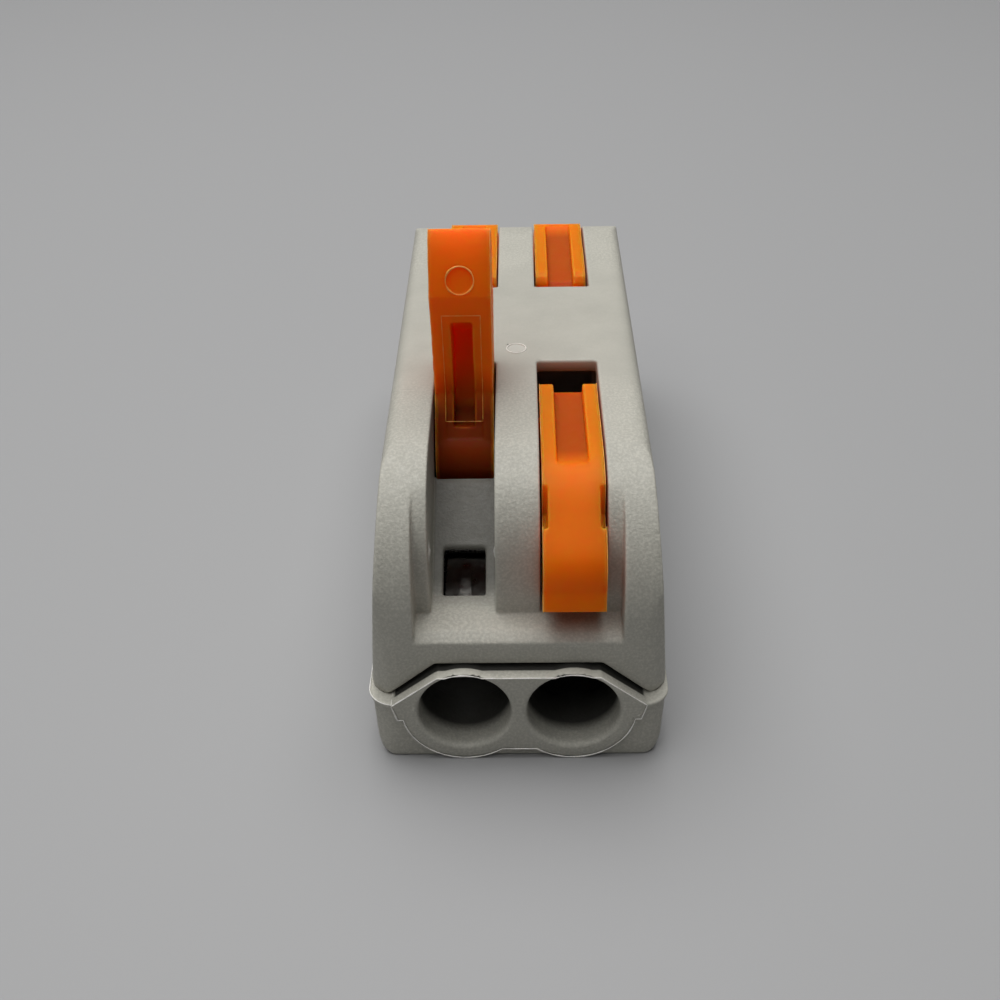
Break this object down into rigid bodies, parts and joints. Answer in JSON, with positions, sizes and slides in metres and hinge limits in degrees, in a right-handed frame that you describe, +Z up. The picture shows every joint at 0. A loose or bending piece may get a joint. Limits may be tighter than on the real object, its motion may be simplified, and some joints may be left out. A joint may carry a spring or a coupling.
{
  "type": "lever wire connector",
  "caption": "Inline lever wire connector: grey two-part housing with round wire entries at both ends, orange clamping levers, current bars and spring cage clamps.",
  "frame": {"origin": "centre of the underside that the connector rests on", "axes": "+Z up, +Y along the length towards the back pair of entries, +X across the poles, to the right seen from the front entries"},
  "size_m": [0.0148, 0.0384, 0.0231],
  "materials": {
    "cover_plastic": "warm grey moulded polyamide, satin with a fine eroded grain on the cheeks and ribs",
    "base_plastic": "warm grey moulded polyamide, fine grain",
    "lever_plastic": "orange moulded plastic, satin, slightly translucent",
    "tinned_bar": "tin-plated copper, dull bright",
    "spring_steel": "stainless spring strip"
  },
  "bodies": {
    "housing": {"housing_cover": "cover_plastic", "housing_base": "base_plastic", "busbar_left": "tinned_bar", "busbar_right": "tinned_bar", "spring_seat_front_left": "spring_steel", "spring_seat_front_right": "spring_steel", "spring_seat_back_left": "spring_steel", "spring_seat_back_right": "spring_steel"},
    "lever_front_left_body": {"lever_front_left": "lever_plastic"},
    "lever_front_right_body": {"lever_front_right": "lever_plastic"},
    "lever_back_left_body": {"lever_back_left": "lever_plastic"},
    "lever_back_right_body": {"lever_back_right": "lever_plastic"},
    "cage_front_left_body": {"clamp_cage_front_left": "spring_steel"},
    "cage_front_right_body": {"clamp_cage_front_right": "spring_steel"},
    "cage_back_left_body": {"clamp_cage_back_left": "spring_steel"},
    "cage_back_right_body": {"clamp_cage_back_right": "spring_steel"}
  },
  "joints": [
    {"name": "lever_front_left_hinge", "type": "hinge", "parent": "housing", "child": "lever_front_left_body", "pos_m": [-0.00265, -0.0078, 0.0119], "axis": [-1, 0, 0], "range_deg": [-108, 0]},
    {"name": "lever_front_right_hinge", "type": "hinge", "parent": "housing", "child": "lever_front_right_body", "pos_m": [0.00265, -0.0078, 0.0119], "axis": [-1, 0, 0], "range_deg": [0, 108]},
    {"name": "lever_back_left_hinge", "type": "hinge", "parent": "housing", "child": "lever_back_left_body", "pos_m": [-0.00265, 0.0078, 0.0119], "axis": [1, 0, 0], "range_deg": [0, 108]},
    {"name": "lever_back_right_hinge", "type": "hinge", "parent": "housing", "child": "lever_back_right_body", "pos_m": [0.00265, 0.0078, 0.0119], "axis": [1, 0, 0], "range_deg": [0, 108]},
    {"name": "cage_front_left_flex", "type": "hinge", "parent": "housing", "child": "cage_front_left_body", "pos_m": [-0.00265, -0.0032, 0.00747], "axis": [1, 0, 0], "range_deg": [-21, 0]},
    {"name": "cage_front_right_flex", "type": "hinge", "parent": "housing", "child": "cage_front_right_body", "pos_m": [0.00265, -0.0032, 0.00747], "axis": [1, 0, 0], "range_deg": [0, 21]},
    {"name": "cage_back_left_flex", "type": "hinge", "parent": "housing", "child": "cage_back_left_body", "pos_m": [-0.00265, 0.0032, 0.00747], "axis": [-1, 0, 0], "range_deg": [0, 21]},
    {"name": "cage_back_right_flex", "type": "hinge", "parent": "housing", "child": "cage_back_right_body", "pos_m": [0.00265, 0.0032, 0.00747], "axis": [-1, 0, 0], "range_deg": [0, 21]}
  ],
  "couplings": [
    {"joint": "cage_front_left_flex", "follows": "lever_front_left_hinge", "ratio": 0.19444},
    {"joint": "cage_front_right_flex", "follows": "lever_front_right_hinge", "ratio": 0.19444},
    {"joint": "cage_back_left_flex", "follows": "lever_back_left_hinge", "ratio": 0.19444},
    {"joint": "cage_back_right_flex", "follows": "lever_back_right_hinge", "ratio": 0.19444}
  ]
}
